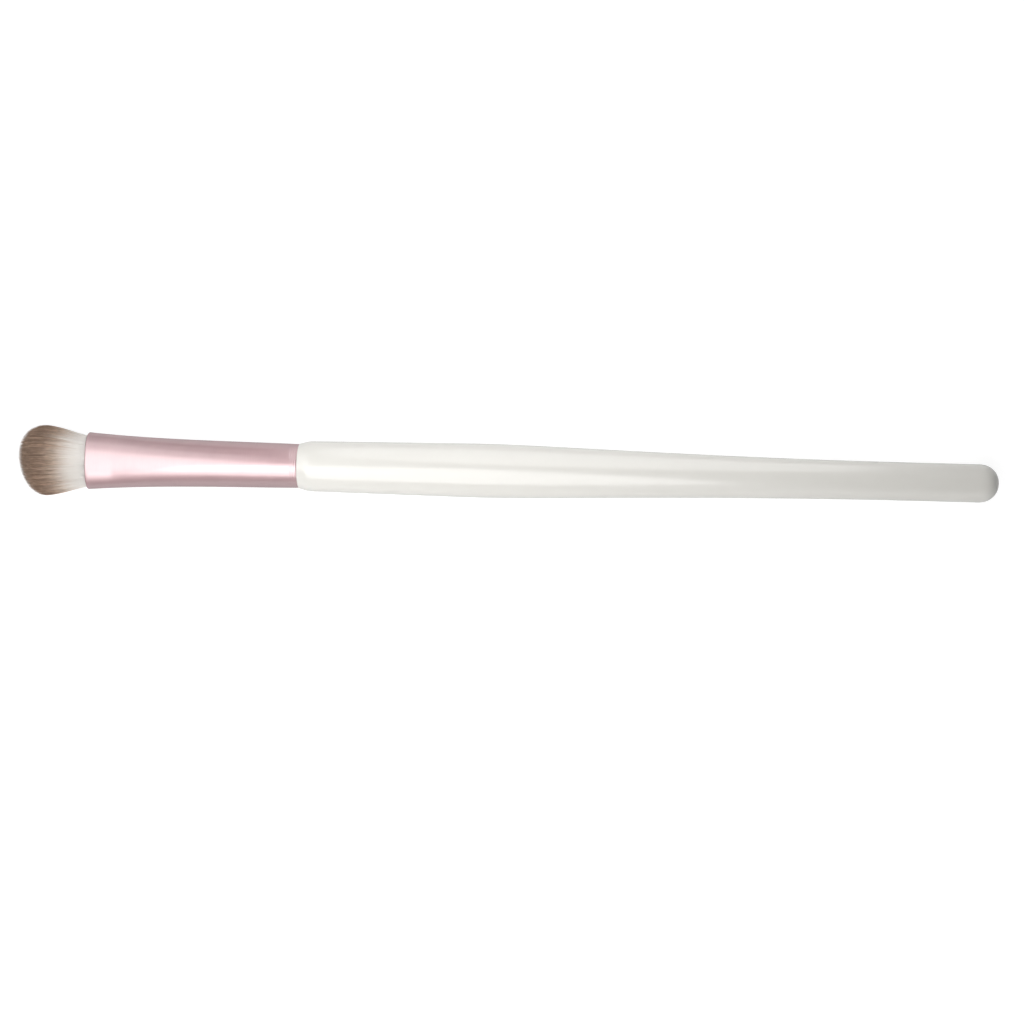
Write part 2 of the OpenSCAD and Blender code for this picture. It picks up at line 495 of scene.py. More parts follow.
@dataclass(frozen=True)
class AnodisedAluminium:
    """Satin pink anodising over fine turning marks, under its clear sealed skin.

    Attributes:
        light: Colour at the palest.
        dark: Colour at the darkest.
        edge_tint: Tint of the metal where it is seen at a slant.
        cloud_size: Size of the clouds in the colour.
        mark_size: Width of a turning mark.
        mark_stretch: How the marks are drawn out round the tube.
        mark_depth: Depth of the marks.
        rough: Range of the metal's roughness.
        skin_rough: Roughness of the sealed skin.
        skin_ior: Index of refraction of the sealed skin.
    """

    light: Colour = (0.69, 0.452, 0.472)
    dark: Colour = (0.65, 0.425, 0.444)
    edge_tint: Colour = (0.1, 0.1, 0.1)
    cloud_size: float = 3 * MM
    mark_size: float = 0.05 * MM
    mark_stretch: Triple = (1.0, 0.02, 0.02)
    mark_depth: float = 0.0012 * MM
    rough: Pair = (0.5, 0.57)
    skin_rough: float = 0.24
    skin_ior: float = 2.5

    def material(self) -> bpy.types.Material:
        """Turning marks are noise drawn out round the tube, in its gloss and its height.

        Returns:
            The material.
        """
        r = Recipe(
            "anodised_pink",
            Metallic=1.0,
            Specular_Tint=(*self.edge_tint, 1.0),
            Coat_Weight=1.0,
            Coat_Roughness=self.skin_rough,
            Coat_IOR=self.skin_ior,
        )
        marks = r.noise(r.place(self.mark_stretch), self.mark_size)
        cloud = r.noise(r.place(), self.cloud_size, detail=3)
        r.give("Base Color", r.mix(r.between(cloud, 0, 1), self.dark, self.light))
        r.give("Roughness", r.between(marks, *self.rough))
        r.bump(marks, self.mark_depth)
        return r.material


@dataclass(frozen=True)
class DippedFilament:
    """Synthetic filament, white at the root and dyed brown towards the tip.

    Attributes:
        root: Colour without dye.
        tip: Colour with all of the dye.
        rough: Roughness.
        specular: Gloss.
        chart_length: Depth below the curve of the tips that v = 1 stands for.
        dip_length: Depth at which half of the dye is left.
        fade_length: Depth over which the dye falls to 1 / e, past that.
        creep: Share of the dye that has crept up into the white zone.
        creep_ends: Depths between which that share falls to nothing.
        painted_tip_light: Share of the dye taken away at the very tips, a painted lightening that
            stands in for light passing through the thin tips.
        painted_tip_light_length: Depth over which that share falls to 1 / e.
        lock_drift: Most that the dye line of a lock lies off.
        clump_drift: Most that the dye line of a clump lies off its lock's.
        lock_share: Width of a lock, as a share of u.
        clump_share: Width of a clump, as a share of u.
        strand_share: Width of a strand, as a share of u.
        patch_size: Width of the patches in which dyed filaments lie darker or lighter.
        patch_stretch: How those patches are drawn out along the head.
        shades: Ranges of the shade of a lock, a clump, a strand and a patch.
        shaded: Shares of the dye between which the shade comes in.
    """

    root: Colour = (0.965, 0.94, 0.905)
    tip: Colour = (0.335, 0.218, 0.153)
    rough: float = 0.42
    specular: float = 0.45
    chart_length: float = 13.4 * MM
    dip_length: float = 7.1 * MM
    fade_length: float = 1.0 * MM
    creep: float = 0.07
    creep_ends: Pair = (9.4 * MM, 12.0 * MM)
    # Painted light: the tips are made paler than their dye, standing in for light passing through
    # the thin tips.
    painted_tip_light: float = 0.45
    painted_tip_light_length: float = 2.0 * MM
    lock_drift: float = 0.25 * MM
    clump_drift: float = 0.6 * MM
    lock_share: float = 0.045
    clump_share: float = 0.01
    strand_share: float = 0.0012
    patch_size: float = 0.42 * MM
    patch_stretch: Triple = (0.32, 1.0, 1.0)
    shades: tuple[Pair, ...] = ((0.94, 1.07), (0.8, 1.22), (0.85, 1.18), (0.77, 1.25))
    shaded: Pair = (0.15, 0.8)

    def dye(self, r: Recipe, depth: Socket, line: Socket) -> Socket:
        """Share of the dye at a depth.

        It follows a logistic curve of the depth: 1 over 1 plus e to the distance past the dye line
        over the fade. Creep is the least that it falls to. Near the tips a share of it is taken
        away: painted light, which makes the thin tips paler to stand in for light passing through.

        Args:
            r: The material.
            depth: Depth below the curve of the tips.
            line: Depth of the dye line, over the fade.

        Returns:
            The share, from 0 to 1.
        """
        past = r.math("SUBTRACT", r.math("DIVIDE", depth, self.fade_length), line)
        dye = r.math("DIVIDE", 1.0, r.math("ADD", r.math("POWER", math.e, past), 1.0))
        dye = r.math("MAXIMUM", dye, r.ramp(depth, self.creep_ends, (self.creep, 0.0)))
        # Painted light: this share pales the tips, standing in for light passing through them.
        worn = r.math("POWER", math.e, r.math("DIVIDE", depth, -self.painted_tip_light_length))
        left = r.math("SUBTRACT", 1.0, r.math("MULTIPLY", worn, self.painted_tip_light))
        return r.math("MULTIPLY", dye, left)

    def material(self) -> bpy.types.Material:
        """Colour of the root, darkened by the power of the dye's share, and shaded by the strand.

        Returns:
            The material.
        """
        r = Recipe("dipped_filament", Roughness=self.rough, Specular_IOR_Level=self.specular)
        chart = r.add("ShaderNodeSeparateXYZ")
        r.join(r.add("ShaderNodeUVMap", uv_map="Chart").outputs["UV"], chart.inputs[0])
        u, v = chart.outputs[:2]
        shares = (self.lock_share, self.clump_share, self.strand_share)
        noises = [r.noise(u, share, detail=1, line=True) for share in shares]
        noises.append(r.noise(r.place(self.patch_stretch), self.patch_size))
        lock_off = self.lock_drift / self.fade_length
        low = (self.dip_length - self.clump_drift) / self.fade_length
        high = (self.dip_length + self.clump_drift) / self.fade_length
        line = r.between(noises[1], low, high)
        line = r.math("ADD", r.between(noises[0], -lock_off, lock_off), line)
        dye = self.dye(r, r.math("MULTIPLY", v, self.chart_length), line)
        dyed = r.add("ShaderNodeGamma")
        r.join((*(t / w for t, w in zip(self.tip, self.root)), 1.0), dyed.inputs["Color"])
        r.join(dye, dyed.inputs["Gamma"])
        shade: Feed = 1.0
        for noise, ends in zip(noises, self.shades):
            shade = r.math("MULTIPLY", shade, r.between(noise, *ends))
        shade = r.mix(r.ramp(dye, self.shaded, (0.0, 1.0)), WHITE, shade)
        r.give("Base Color", r.product(r.product(dyed.outputs[0], self.root), shade))
        return r.material


@dataclass(frozen=True)
class Fibrous:
    """Finish with a grain, strands or fibres.

    Attributes:
        name: Name of the material.
        light: Colour of the palest fibres.
        dark: Colour of the darkest.
        size: Width of a fibre.
        stretch: How the fibres are drawn out along each axis.
        detail: Octaves of finer fibres.
        rough: Roughness of the darkest fibres and of the palest.
        relief: Height of the fibres.
        sheen: Weight of a soft sheen.
    """

    name: str
    light: Colour
    dark: Colour
    size: float
    stretch: Triple
    detail: float
    rough: Pair
    relief: float
    sheen: float = 0.0

    def material(self) -> bpy.types.Material:
        """Fibres are drawn-out noise in the colour, the gloss and the height.

        Returns:
            The material.
        """
        r = Recipe(self.name, Sheen_Weight=self.sheen)
        fibres = r.noise(r.place(self.stretch), self.size, self.detail)
        r.give("Base Color", r.mix(r.between(fibres, 0, 1), self.dark, self.light))
        r.give("Roughness", r.between(fibres, *self.rough))
        r.bump(fibres, self.relief)
        return r.material


@dataclass(frozen=True)
class BareWood(Fibrous):
    """Fine pale wood turned smooth and left bare under the glue."""

    name: str = "bare_wood"
    light: Colour = (0.62, 0.45, 0.28)
    dark: Colour = (0.47, 0.31, 0.17)
    size: float = 0.4 * MM
    stretch: Triple = (0.06, 1.0, 1.0)
    detail: float = 4
    rough: Pair = (0.7, 0.55)
    relief: float = 0.02 * MM


@dataclass(frozen=True)
class PackedRoots(Fibrous):
    """Ends of filaments soaked with clear glue."""

    name: str = "packed_roots"
    light: Colour = (0.80, 0.77, 0.72)
    dark: Colour = (0.62, 0.58, 0.52)
    size: float = 0.09 * MM
    stretch: Triple = (0.03, 1.0, 1.0)
    detail: float = 2
    rough: Pair = (0.3, 0.5)
    relief: float = 0.03 * MM


@dataclass(frozen=True)
class WaxedThread(Fibrous):
    """Off-white binding thread of waxed polyester."""

    name: str = "waxed_thread"
    light: Colour = (0.86, 0.84, 0.79)
    dark: Colour = (0.66, 0.63, 0.57)
    size: float = 0.06 * MM
    stretch: Triple = (1.0, 0.4, 0.4)
    detail: float = 3
    rough: Pair = (0.95, 0.8)
    relief: float = 0.03 * MM
    sheen: float = 0.3


@dataclass(frozen=True)
class SetGlue:
    """Glue that has set with small clouds and bubbles.

    Attributes:
        name: Name of the material.
        light: Colour of the clear glue.
        dark: Colour of its clouds.
        rough: Roughness of the smooth glue.
        blur: What the bubbles add to it.
        cloud_size: Size of a cloud.
        bubble_size: Size of a bubble.
        bubble_depth: Depth of its dent.
    """

    name: str
    light: Colour
    dark: Colour
    rough: float
    blur: float = 0.15
    cloud_size: float = 1.2 * MM
    bubble_size: float = 0.25 * MM
    bubble_depth: float = 0.02 * MM

    def material(self) -> bpy.types.Material:
        """Clouds tint the glue, and bubbles roughen and dent it.

        Returns:
            The material.
        """
        r = Recipe(self.name)
        at = r.place()
        cloud = r.noise(at, self.cloud_size, detail=3)
        bubbles = r.noise(at, self.bubble_size, detail=1)
        r.give("Base Color", r.mix(r.between(cloud, 0, 1), self.dark, self.light))
        r.give("Roughness", r.between(bubbles, self.rough, self.rough + self.blur))
        r.bump(bubbles, self.bubble_depth)
        return r.material


def finish_piece(
    piece: bpy.types.Object, finish: bpy.types.Material, node: str
) -> bpy.types.Object:
    """Gives a piece its material and its body, and hides the CAD node that it stands for.

    Args:
        piece: The piece, in place.
        finish: Its material.
        node: The CAD node that it replaces, alone or with others.

    Returns:
        The piece.
    """
    piece.data.materials.append(finish)
    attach(piece, BODY)
    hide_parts(node)
    log.info("%s: %d faces for node %s", piece.name, len(piece.data.polygons), node)
    return piece


# Sub-assemblies


@dataclass(frozen=True)
class Layout:
    """Lengths that several sub-assemblies share, and the places that follow from them."""

    hair_out: float = 12.2 * MM
    ferrule_length: float = 36.5 * MM
    handle_length: float = 121.3 * MM
    belly_diameter: float = 9.38 * MM

    @property
    def mouth_x(self) -> float:
        """Place of the ferrule's mouth, with the whole brush centred on x = 0."""
        return self.hair_out - (self.hair_out + self.ferrule_length + self.handle_length) / 2

    @property
    def joint_x(self) -> float:
        """Place where the ferrule meets the handle."""
        return self.mouth_x + self.ferrule_length

    @property
    def axis_z(self) -> float:
        """Height of the axis, with the belly on z = 0."""
        return self.belly_diameter / 2


@dataclass(frozen=True)
class Handle:
    """Turned wooden handle with a lacquered body and a bare tenon.

    Attributes:
        curves: For each stretch of the outline from the neck to the butt, the control shares of
            its distance and of its radius, and its number of points.
        rim: Radius of the lacquer's rounded rim at the neck.
        crisp: Distance of the rings that keep the tenon's edges crisp.
        sunk: How far the tenon's own mesh runs on inside the body.
    """

    layout: Layout
    lacquer: PearlLacquer = PearlLacquer()
    wood: BareWood = BareWood()
    neck_diameter: float = 7.7 * MM
    shoulder_length: float = 2.6 * MM
    shoulder_diameter: float = 8.72 * MM
    belly_at: float = 32 * MM
    tail_diameter: float = 6.66 * MM
    tail_length: float = 10 * MM
    butt_length: float = 3.4 * MM
    butt_power: float = 2.2
    butt_steps: int = 40
    curves: tuple[tuple[Curve, Curve, int], ...] = (
        ((0, 0.4, 0.5, 1), (0, 0.5, 0.98, 1), 36),
        ((0, 0.5, 0.9, 1), (0, 0.5, 1, 1), 40),
        ((0, 0.17, 0.5, 1), (0, 0, 1, 1), 70),
        ((0, 0.3, 0.7, 1), (0, 0, 1, 1), 8),
    )
    rim: float = 0.14 * MM
    rim_steps: int = 7
    tenon_length: float = 14 * MM
    tenon_diameter: float = 6.43 * MM
    tenon_chamfer: float = 0.6 * MM
    crisp: float = 0.02 * MM
    sunk: float = 1 * MM
    around: int = 144

    def body_outline(self) -> np.ndarray:
        """Outline of the lacquered body, as distance behind the ferrule and radius.

        The rim is a quarter circle that ends on the shoulder's curve. The butt's radius is that
        of a round end, at the sine of equal angles.

        Returns:
            Rows from the middle of the neck's face to beside the butt's middle.
        """
        tail_end = self.layout.handle_length - self.butt_length
        tail_radius = self.tail_diameter / 2
        ends = [
            (0.0, self.neck_diameter / 2),
            (self.shoulder_length, self.shoulder_diameter / 2),
            (self.belly_at, self.layout.belly_diameter / 2),
            (tail_end - self.tail_length, tail_radius),
            (tail_end, tail_radius),
        ]
        parts = [stretch(a, b, *shape) for a, b, shape in zip(ends, ends[1:], self.curves)]
        curve = np.concatenate([ends[:1], *parts])
        top = np.interp(self.rim, curve[:, 0], curve[:, 1])
        turn = np.linspace(0, math.pi / 2, self.rim_steps + 1)
        rim = columns(self.rim * (1 - np.cos(turn)), top - self.rim * (1 - np.sin(turn)))
        face = [[0, top / 2], [0, top - 2 * self.rim]]
        q = np.sin(np.linspace(0, math.pi / 2, self.butt_steps + 1)[1:-1])
        fall = round_end(q, self.butt_power)
        butt = columns(tail_end + self.butt_length * q, tail_radius * fall)
        return np.concatenate([face, rim, curve[curve[:, 0] > self.rim], butt])

    def tenon_outline(self) -> np.ndarray:
        """Outline of the tenon, as distance behind the ferrule and radius.

        Returns:
            Rows from the tenon's front into the body.
        """
        radius = self.tenon_diameter / 2
        front, chamfer = -self.tenon_length, self.tenon_chamfer
        return np.array([
            [front, radius / 2],
            [front, radius - chamfer - self.crisp],
            [front, radius - chamfer],
            [front + chamfer, radius],
            [front + chamfer + self.crisp, radius],
            [0.0, radius],
            [self.sunk, radius],
        ])

    def turned(self, outline: np.ndarray) -> Surface:
        """Turns an outline about the axis: x from the distance, y and z from radius and circle.

        Args:
            outline: Rows of distance behind the ferrule and radius.

        Returns:
            The closed skin.
        """
        spun = outline[:, 1, None, None] * circle(self.around)
        x = np.broadcast_to(self.layout.joint_x + outline[:, 0, None], spun.shape[:2])
        rings = columns(x, spun[..., 0], self.layout.axis_z + spun[..., 1])
        return Surface.through_rings(rings, Ends.POLES)

    def build(self) -> list[bpy.types.Object]:
        """Makes the lacquered body and the bare tenon, which together stand for the handle.

        Returns:
            Both pieces.
        """
        body = self.turned(self.body_outline()).piece("lacquered_body")
        tenon = self.turned(self.tenon_outline()).piece("bare_tenon")
        return [
            finish_piece(body, self.lacquer.material(), "handle"),
            finish_piece(tenon, self.wood.material(), "handle"),
        ]


@dataclass(frozen=True)
class Ferrule:
    """Drawn tube, round at the handle and pressed to an oval at the mouth.

    Attributes:
        spread_shares: Control shares of the mouth's extra width along the tube.
        press_shares: Control shares of the mouth's lost thickness behind the jaws.
        crease: Distance over which the line of the press jaws is eased.
        edge: Radius of the lips.
        line_places: Distances of the fine rolled lines from the round end.
        steps: Numbers of rings along the outside, by the crease, and both by the rolled lines
            and along the bore.
        close: Distances that the rings by the crease, to each side, and by the lines cover.
    """

    layout: Layout
    finish: AnodisedAluminium = AnodisedAluminium()
    diameter: float = 7.63 * MM
    mouth_width: float = 9.9 * MM
    mouth_thickness: float = 6 * MM
    wall: float = 0.35 * MM
    jaw_length: float = 4.7 * MM
    press_power: float = 2.4
    spread_shares: Curve = (1, 0.1, 0.2, 0)
    press_shares: Curve = (1, 0, 0.05, 0)
    crease: float = 0.3 * MM
    edge: float = 0.165 * MM
    line_places: tuple[float, ...] = (0.36 * MM, 0.75 * MM, 1.15 * MM)
    line_width: float = 0.08 * MM
    line_depth: float = 0.018 * MM
    steps: tuple[int, int, int] = (110, 25, 60)
    close: Pair = (1 * MM, 1.4 * MM)
    lip_steps: int = 5
    around: int = 176

    def pressed(self, u: np.ndarray) -> np.ndarray:
        """Share of the press that is left: 1 under the jaws, and a cubic down to 0 at the end.

        The distance past the jaws is eased as half its sum with the root of its square and the
        crease's square.

        Args:
            u: Distances behind the mouth.

        Returns:
            The share at each distance.
        """
        past = u - self.jaw_length
        eased = (past + np.sqrt(past**2 + self.crease**2)) / 2
        t = np.clip(eased / (self.layout.ferrule_length - self.jaw_length), 0, 1)
        return cubic(self.press_shares, t)

    def half_sizes(self, u: np.ndarray) -> tuple[np.ndarray, np.ndarray]:
        """Half sizes of the outside, each the round end's and its share of the mouth's change.

        Args:
            u: Distances behind the mouth.

        Returns:
            Half width and half thickness at each distance.
        """
        along = np.clip(u / self.layout.ferrule_length, 0, 1)
        spread = cubic(self.spread_shares, along) * (self.mouth_width - self.diameter)
        squeeze = self.pressed(u) * (self.mouth_thickness - self.diameter)
        return (self.diameter + spread) / 2, (self.diameter + squeeze) / 2

    def rings(self, u: np.ndarray, inset: np.ndarray, around: int) -> np.ndarray:
        """Sections at u, each the unit circle made fuller and multiplied by half sizes less inset.

        Args:
            u: Distance of each ring behind the mouth.
            inset: Depth of each ring under the outside.
            around: Points round a ring.

        Returns:
            Points by ring, by place round it and by axis.
        """
        wide, thick = self.half_sizes(u)
        power = 2 + (self.press_power - 2) * self.pressed(u)
        disc = fuller(np.broadcast_to(circle(around), (len(u), around, 2)), power[:, None])
        x = np.broadcast_to((self.layout.mouth_x + u)[:, None], disc.shape[:2])
        y = disc[..., 0] * (wide - inset)[:, None]
        z = self.layout.axis_z + disc[..., 1] * (thick - inset)[:, None]
        return columns(x, y, z)

    def wall_outline(self) -> np.ndarray:
        """Way once round the wall of the tube.

        Lips are quarter circles. The depth of the rolled lines is a sum of bell curves.

        Returns:
            Rows of distance behind the mouth and depth under the outside.
        """
        length, e, wall = self.layout.ferrule_length, self.edge, self.wall
        by_crease, by_lines = self.close
        turn = np.linspace(0, math.pi / 2, self.lip_steps + 1)
        c, s = e * (1 - np.cos(turn)), e * (1 - np.sin(turn))
        u = np.unique(np.concatenate([
            np.linspace(e, length - e, self.steps[0])[1:-1],
            self.jaw_length + np.linspace(-by_crease, by_crease, self.steps[1]),
            length - np.linspace(by_lines, e, self.steps[2])[:-1],
        ]))
        lines = (length - u[:, None] - np.array(self.line_places)) / self.line_width
        depth = self.line_depth * np.exp(-(lines**2)).sum(axis=1)
        inner = np.linspace(length - e, e, self.steps[2])[1:-1]
        return np.concatenate([
            columns(c, s),
            columns(u, depth),
            columns(length - s, c),
            columns(length - c, wall - s),
            columns(inner, np.full_like(inner, wall)),
            columns(s, wall - c),
        ])

    def build(self) -> list[bpy.types.Object]:
        """Makes the tube, which stands for the ferrule.

        Returns:
            The tube, alone in a list.
        """
        u, inset = self.wall_outline().T
        rings = self.rings(u, inset, self.around)
        tube = Surface.through_rings(rings, Ends.LOOPED).piece("satin_tube")
        return [finish_piece(tube, self.finish.material(), "ferrule")]


@dataclass(frozen=True)
class Head:
    """Bundle of dipped filaments on its packed roots.

    Attributes:
        width_shares: Control shares of the half width's way from the bore's to the head's.
        thickness_shares: Control shares of the half thickness's way.
        slant: Slope of the trim across the head's middle.
        slant_fall: Share of that slope's rise that is lost at the head's edges.
        waist: How much narrower than the bore the bundle is at the mouth, on each side.
        aside: How far the bundle's middle lies towards +Y from the ferrule's.
        fit: Gap between the bundle and the bore.
        root_recess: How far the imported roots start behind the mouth.
        root_rings: First and last even ring of the roots behind the mouth, and their number.
        groove: Start of the thread's groove behind the mouth, its width and its depth.
        gather: Share of the way to the middle of its lock that a tip is drawn.
        scatter: How far a filament and a lock start off their seed, in steps between seeds.
        sway: Most that a lock leans at its tips, and a strand leans in its lock.
        calm: Share of the lean that filaments at the bundle's outside lose, and its power.
        shortfall: Most that a filament falls short of the longest.
        lock_ragged: Part of that shortfall that a lock shares.
        strand_ragged: Part of it that a strand has alone, and its power.
        held_back: How far the longest ends short of the dome, for its own width.
        tip_gap: How far behind the front of the head every tip stays.
        drape: Least and most of the way on over the dome, to the middle of the head's
            thickness, that a filament goes.
        tight: Lowest share of the dome's height that a draped filament lies at.
        stations: Shares of a filament's length where it has a ring.
        taper: Share of the length where the taper starts, the share that it takes, and its power.
        fill: Share of the bundle's reach that its dense heart fills at the mouth and at the tips.
        fill_ends: Distances in front of the mouth between which that share changes.
        fill_depth: How far the dense heart ends short of the dome.
        heart_steps: Points round the heart, and rings over its dome and along its side.
        heart_tip: Share of a quarter turn from the heart's tip to its first ring.
        dip_curve: How much lower the dye line lies at the edges of the broad side.
        clump_size: Size of a clump of one shade across the head and through it.
        clump_grid: Number of clumps each way that shades are drawn for.
        lock_strips: Least and most u of a lock.
        clump_strip: Most that a clump's u lies off its lock's.
        strand_strip: Most that a strand's u lies off its clump's.
        side_strip: Step of u from side to side of a strand.
    """

    layout: Layout
    ferrule: Ferrule
    finish: DippedFilament = DippedFilament()
    root_finish: PackedRoots = PackedRoots()
    width: float = 12.3 * MM
    thickness: float = 8.2 * MM
    width_shares: Curve = (0, 0.28, 0.95, 1)
    thickness_shares: Curve = (0, 0.75, 0.97, 1)
    dome_length: float = 4.3 * MM
    dome_power: float = 2.1
    slant: float = 0.12
    slant_fall: float = 0.75
    waist: float = 0.18 * MM
    aside: float = -0.1 * MM
    fit: float = 0.04 * MM
    root_length: float = 11 * MM
    root_recess: float = 0.4 * MM
    root_rings: tuple[float, float, int] = (1 * MM, 7 * MM, 13)
    root_around: int = 96
    groove: Triple = (8.08 * MM, 1.92 * MM, 0.48 * MM)
    count: int = 7200
    locks: int = 300
    layers: tuple[str, ...] = ("filaments_core", "filaments_middle", "filaments_skin")
    diameter: float = 0.11 * MM
    buried: float = 0.9 * MM
    gather: float = 0.2
    scatter: Pair = (0.25, 0.3)
    sway: Pair = (0.12 * MM, 0.16 * MM)
    calm: Pair = (0.8, 6)
    shortfall: float = 0.85 * MM
    lock_ragged: float = 0.2
    strand_ragged: Pair = (0.8, 1.5)
    held_back: float = 0.2 * MM
    tip_gap: float = 0.03 * MM
    drape: Pair = (0.55, 1.0)
    tight: float = 0.9
    stations: tuple[float, ...] = (0, 0.2, 0.42, 0.6, 0.68, 0.76, 0.84, 0.91, 0.96)
    taper: Triple = (0.55, 0.45, 1.6)
    fill: Pair = (0.96, 0.9)
    fill_ends: Pair = (3.5 * MM, 8.0 * MM)
    fill_depth: float = 1.0 * MM
    heart_steps: tuple[int, int, int] = (120, 16, 31)
    heart_tip: float = 0.06
    dip_curve: float = 1.0 * MM
    clump_size: Pair = (0.22 * MM, 0.4 * MM)
    clump_grid: int = 128
    lock_strips: Pair = (0.05, 0.94)
    clump_strip: float = 0.03
    strand_strip: float = 0.002
    side_strip: float = 0.0003
    seed: int = 11

    @property
    def flare_length(self) -> float:
        """Distance from the mouth to the widest place."""
        return self.layout.hair_out - self.dome_length

    def spread(self, disc: np.ndarray, s: np.ndarray) -> tuple[np.ndarray, np.ndarray]:
        """Places of points of the unit disc at distance s in front of the mouth.

        The half sizes go from the bore's to the head's by cubics of the distance, and the section
        goes from the mouth's fuller oval to an ellipse with the first of them.

        Args:
            disc: Points, with two numbers on the last axis.
            s: Distance of each, below 0 inside the ferrule.

        Returns:
            Y and z of each point.
        """
        way = np.clip(s / self.flare_length, 0, 1)
        f, g = cubic(self.width_shares, way), cubic(self.thickness_shares, way)
        wide, thick = self.ferrule.half_sizes(np.maximum(-s, 0))
        inset = self.ferrule.wall + self.fit + self.diameter / 2
        full = fuller(disc, self.ferrule.press_power * (1 - f) + 2 * f)
        half_width = (wide - inset - self.waist) * (1 - f) + self.width / 2 * f
        half_thickness = (thick - inset) * (1 - g) + self.thickness / 2 * g
        y = full[..., 0] * half_width + self.aside
        return y, self.layout.axis_z + full[..., 1] * half_thickness

    def trim(self, across: np.ndarray) -> np.ndarray:
        """Distance from the mouth to the foot of the dome, which slants less towards the edges."""
        rise = self.slant * across * (1 - self.slant_fall * across**2)
        return self.flare_length + rise * self.width / 2

    def lengths(self, disc: np.ndarray, short: np.ndarray | float) -> np.ndarray:
        """Lengths in front of the mouth: flare, dome and slant, less a shortfall.

        Args:
            disc: Points, with two numbers on the last axis.
            short: Shortfall of each, or of all.

        Returns:
            The length at each point.
        """
        dome = self.dome_length * round_end(np.linalg.norm(disc, axis=-1), self.dome_power)
        whole = dome + self.trim(disc[..., 0]) - short
        return np.minimum(whole, self.layout.hair_out - self.tip_gap)

    def draped(self, disc: np.ndarray, s: np.ndarray, tight: np.ndarray) -> np.ndarray:
        """Presses points of the unit disc down under the dome, at the same place across the head.

        The dome's section at s is a disc whose radius is the round end of the way over the dome.
        The second number is held under the height of that disc, times a share that goes from 1 at
        the foot of the dome to tight at its tip.

        Args:
            disc: Points, with two numbers on the last axis.
            s: Distance of each in front of the mouth.
            tight: Share of the dome's height for each.

        Returns:
            The moved points.
        """
        across = disc[..., 0]
        over = np.clip((s - self.trim(across)) / self.dome_length, 0, 1)
        top = np.sqrt(np.maximum(round_end(over, self.dome_power) ** 2 - across**2, 0))
        top = top * (1 - (1 - tight) * over)
        return columns(across, np.clip(disc[..., 1], -top, top))

    def below_tips(self, disc: np.ndarray, s: np.ndarray) -> np.ndarray:
        """Depth below the tips' curve, which falls off with the 4th power across the head."""
        depth = self.layout.hair_out - s - self.dip_curve * disc[..., 0] ** 4
        return depth / self.finish.chart_length

    def heart(self) -> Surface:
        """Dense heart of the bundle: the head's own form, a little smaller and shorter.

        Its rings run from the tip down the dome and on along the flare. The share that it fills
        goes from one end's value to the other's as 3 t squared less 2 t cubed. The first chart
        number is the angle from the nearer edge, so both broad sides mirror each other and no
        seam shows.

        Returns:
            The closed skin with its chart.
        """
        around, over, along = self.heart_steps
        at_mouth, at_tips = self.fill
        near, far = self.fill_ends
        q = at_tips * np.sin(np.linspace(self.heart_tip, 1, over) * math.pi / 2)
        dome = q[:, None, None] * circle(around)
        s_dome = self.lengths(dome, self.fill_depth)
        left = np.linspace(1, 0, along)[1:, None]
        s_side = -self.buried + left * (s_dome[-1] + self.buried)
        t = np.clip((s_side - near) / (far - near), 0, 1)
        share = at_mouth + (at_tips - at_mouth) * (3 * t**2 - 2 * t**3)
        disc = np.concatenate([dome, share[..., None] * circle(around)])
        s = np.concatenate([s_dome, s_side])
        y, z = self.spread(disc, s)
        surface = Surface.through_rings(columns(self.layout.mouth_x - s, y, z), Ends.POLES)
        u = np.abs((np.linspace(0, 2, around, endpoint=False) + 1) % 2 - 1)
        chart = columns(np.broadcast_to(u, s.shape), self.below_tips(disc, s))
        poles = [chart[0].mean(axis=0), chart[-1].mean(axis=0)]
        surface.chart = np.concatenate([chart.reshape(-1, 2), poles])
        return surface

    def starts(self, rng: np.random.Generator) -> tuple[np.ndarray, np.ndarray, np.ndarray]:
        """Starts of filaments and locks: points of a sunflower, moved a little at random.

        Args:
            rng: Source of the random draws.

        Returns:
            Start of each filament, middle of its nearest lock, and that lock's number.
        """
        strand_off, lock_off = self.scatter
        off = rng.normal(0, strand_off / math.sqrt(self.count), (self.count, 2))
        seeds = sunflower(self.count) + off
        seeds /= np.maximum(np.linalg.norm(seeds, axis=-1, keepdims=True), 1)
        off = rng.normal(0, lock_off / math.sqrt(self.locks), (self.locks, 2))
        middles = sunflower(self.locks) + off
        lock = np.linalg.norm(seeds[:, None] - middles, axis=-1).argmin(axis=1)
        return seeds, middles[lock], lock

    def reaches(self, rng: np.random.Generator, seeds: np.ndarray, lock: np.ndarray) -> np.ndarray:
        """How far each filament goes: its trimmed length and part of its way on over the dome.

        Args:
            rng: Source of the random draws.
            seeds: Start of each filament.
            lock: Number of its lock.

        Returns:
            Distance of each tip in front of the mouth.
        """
        alone, power = self.strand_ragged
        ragged = rng.uniform(0, self.lock_ragged, self.locks)[lock]
        ragged = ragged + alone * rng.uniform(0, 1, self.count) ** power
        short = self.held_back + self.shortfall * ragged
        cut = self.lengths(seeds, short)
        edge = self.lengths(seeds * [1, 0], short)
        return cut + (edge - cut) * rng.uniform(*self.drape, self.count)

